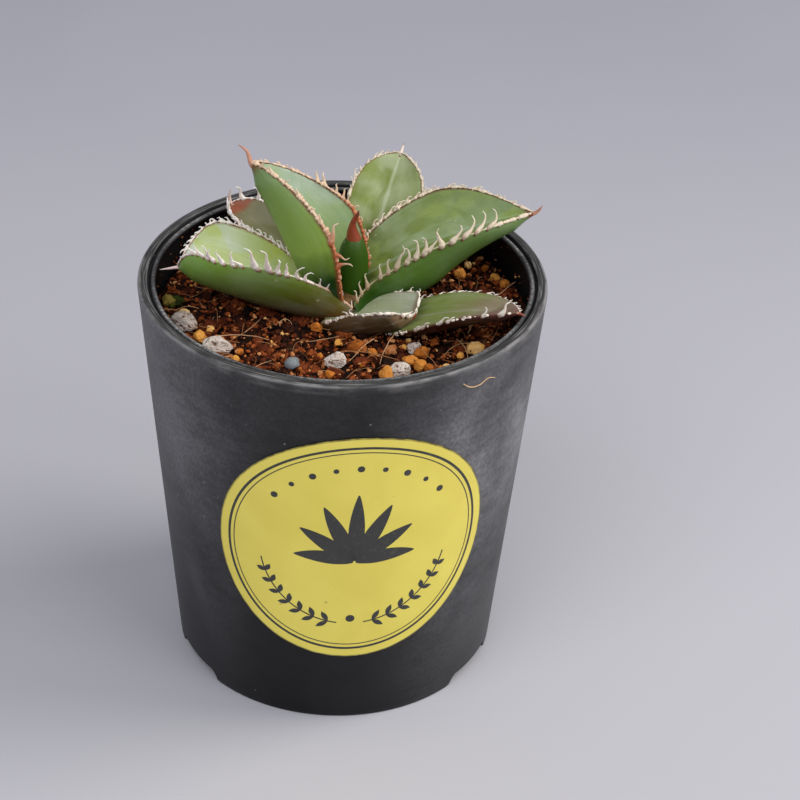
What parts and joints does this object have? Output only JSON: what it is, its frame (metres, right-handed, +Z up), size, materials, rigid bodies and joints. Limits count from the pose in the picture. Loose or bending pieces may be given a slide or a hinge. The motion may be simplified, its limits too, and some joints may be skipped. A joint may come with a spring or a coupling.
{
  "type": "potted agave",
  "caption": "Young toothed agave with thick folded leaves and horny spines, rooted in brown grit in a tapered black nursery pot with a round sticker.",
  "frame": {"origin": "middle of the pot's standing plane", "axes": "+Z up the pot's axis, the sticker faces -Y"},
  "size_m": [0.09, 0.09, 0.1218],
  "materials": {
    "pot": "matte black moulded plastic, scuffed along the rim and dusty on the wall",
    "sticker": "matte yellow printed paper with a slightly worn edge",
    "soil": "red-brown bark and coir crumbs with ochre granules and fine roots",
    "pumice": "white pitted pumice, soiled in its pits",
    "pebble": "smooth grey pebble",
    "stem": "dry tan leaf bases round a short stem",
    "bud": "smooth waxy green",
    "bud_tip": "glossy red-brown thorn",
    "leaf_green": "waxy mid green with a pale grey bloom",
    "leaf_lime": "waxy pale yellow-green",
    "leaf_dusk": "grey-green turning purple-brown with age",
    "horn": "ivory to tan horn, red-brown at the thorns"
  },
  "bodies": {
    "root": {"pot": "pot", "sticker": "sticker", "soil": "soil", "pumice_west": "pumice", "pumice_front_west": "pumice", "pumice_front": "pumice", "pumice_front_east": "pumice", "pumice_small": "pumice", "pebble": "pebble", "stem": "stem", "bud": "bud", "bud_tip": "bud_tip", "leaf_front": "leaf_dusk", "leaf_left": "leaf_green", "leaf_right": "leaf_green", "leaf_tall": "leaf_green", "leaf_back_right": "leaf_lime", "leaf_back_left": "leaf_dusk", "leaf_low": "leaf_dusk", "horn_front": "horn", "horn_left": "horn", "horn_right": "horn", "horn_tall": "horn", "horn_back_right": "horn", "horn_back_left": "horn", "horn_low": "horn"}
  },
  "joints": []
}
